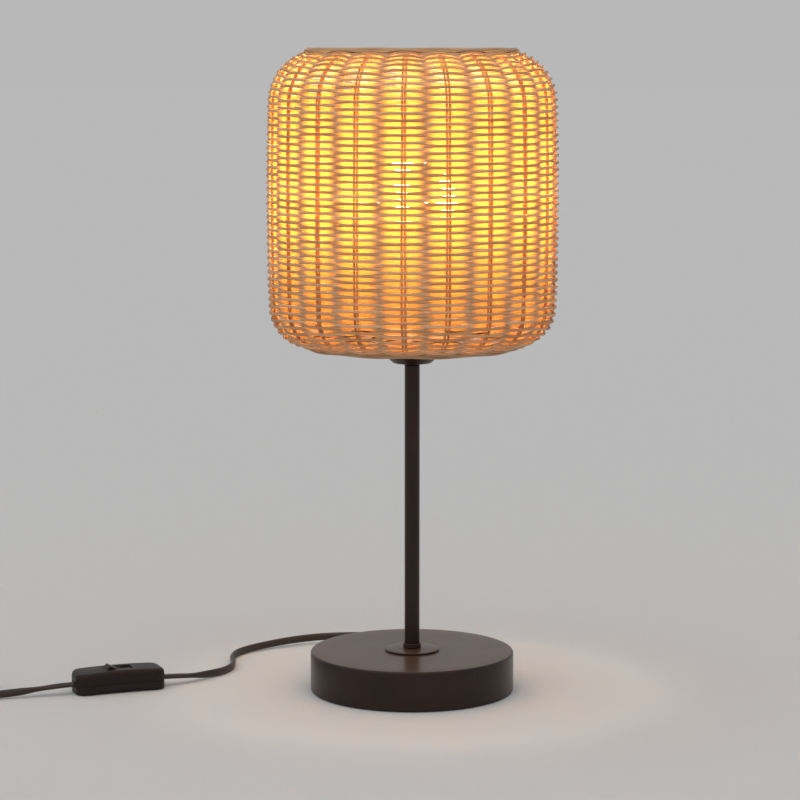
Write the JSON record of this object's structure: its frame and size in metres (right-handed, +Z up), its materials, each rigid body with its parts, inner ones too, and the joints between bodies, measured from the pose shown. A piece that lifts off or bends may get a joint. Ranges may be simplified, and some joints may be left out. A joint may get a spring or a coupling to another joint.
{
  "type": "table lamp with woven shade",
  "caption": "Table lamp with a weighted round base, slim stem, woven reed barrel shade, screw bulb, and a flat cord with in-line rocker switch and plug.",
  "frame": {"origin": "on the floor under the centre of the base", "axes": "+Z up along the stem; +Y towards the cord outlet at the rear; +X to the right seen from the front"},
  "size_m": [0.4705, 0.2488, 0.4384],
  "materials": {
    "black_steel": "satin black-brown powder coat",
    "bare_steel": "zinc-plated",
    "cast_iron": "as cast, oiled",
    "foam": "closed-cell foam pad",
    "black_plastic": "moulded, fine texture",
    "cord_pvc": "extruded, satin",
    "white_plastic": "moulded, satin",
    "ceramic": "glazed",
    "brass": "stamped",
    "nickel": "nickel-plated",
    "frosted_glass": "frosted, lit warm white",
    "reed": "woven rattan core, unvarnished",
    "blue_wire": "wire insulation",
    "brown_wire": "wire insulation"
  },
  "bodies": {
    "lamp": {"base_cover": "black_steel", "base_weight": "cast_iron", "base_plate": "bare_steel", "base_pad": "foam", "base_lock_washer": "bare_steel", "base_hex_nut": "bare_steel", "cord_bushing": "black_plastic", "cord_clamp": "black_plastic", "clamp_screw_a": "bare_steel", "clamp_screw_b": "bare_steel", "internal_lead": "cord_pvc", "stem_flange": "black_steel", "stem_collar": "black_steel", "stem_tube": "black_steel", "socket_cup": "black_steel", "holder_cap": "white_plastic", "holder_body": "white_plastic", "holder_core": "ceramic", "screw_shell": "brass", "center_contact": "brass", "live_core": "brown_wire", "neutral_core": "blue_wire", "shade_ring_nut": "white_plastic", "fitter_ring": "black_steel", "fitter_arm_a": "black_steel", "fitter_arm_b": "black_steel", "fitter_arm_c": "black_steel", "shade_bottom_ring": "black_steel", "shade_top_ring": "black_steel", "shade_weave_lower": "reed", "shade_weave_belly": "reed", "shade_weave_upper": "reed", "switch_base": "black_plastic", "switch_cover": "black_plastic", "terminal_in": "brass", "terminal_out": "brass", "switch_screw_a": "bare_steel", "switch_screw_b": "bare_steel", "neutral_link": "blue_wire", "cord_to_switch": "cord_pvc", "cord_to_coil": "cord_pvc", "cord_coil": "cord_pvc", "cord_to_plug": "cord_pvc", "coil_tie": "black_plastic", "plug_body": "black_plastic", "plug_pin_a": "nickel", "plug_pin_b": "nickel"},
    "rocker": {"rocker": "black_plastic", "rocker_plunger": "nickel", "plunger_spring": "bare_steel"},
    "contact_bridge": {"contact_bridge": "brass"},
    "bulb_lift": {"bulb_tip_contact": "nickel"},
    "bulb": {"bulb_cap": "nickel", "bulb_insulator": "black_plastic", "bulb_housing": "white_plastic", "bulb_led_board": "white_plastic", "bulb_globe": "frosted_glass"}
  },
  "joints": [
    {"name": "rocker_tilt", "type": "hinge", "parent": "lamp", "child": "rocker", "pos_m": [-0.203, -0.003, 0.0098], "axis": [0.3633, -0.9317, 0], "range_deg": [0, 24]},
    {"name": "bridge_tilt", "type": "hinge", "parent": "lamp", "child": "contact_bridge", "pos_m": [-0.203, -0.003, 0.0059], "axis": [0.3633, -0.9317, 0], "range_deg": [-16, 0]},
    {"name": "bulb_raise", "type": "slide", "parent": "lamp", "child": "bulb_lift", "axis": [0, 0, 1], "range_m": [0, 0.01452]},
    {"name": "bulb_turn", "type": "hinge", "parent": "bulb_lift", "child": "bulb", "pos_m": [0, 0, 0.3], "axis": [0, 0, 1], "range_deg": [0, 1440]}
  ],
  "couplings": [
    {"joint": "bridge_tilt", "follows": "rocker_tilt", "ratio": -0.6666},
    {"joint": "bulb_raise", "follows": "bulb_turn", "m_per_rad": 0.0005776}
  ]
}
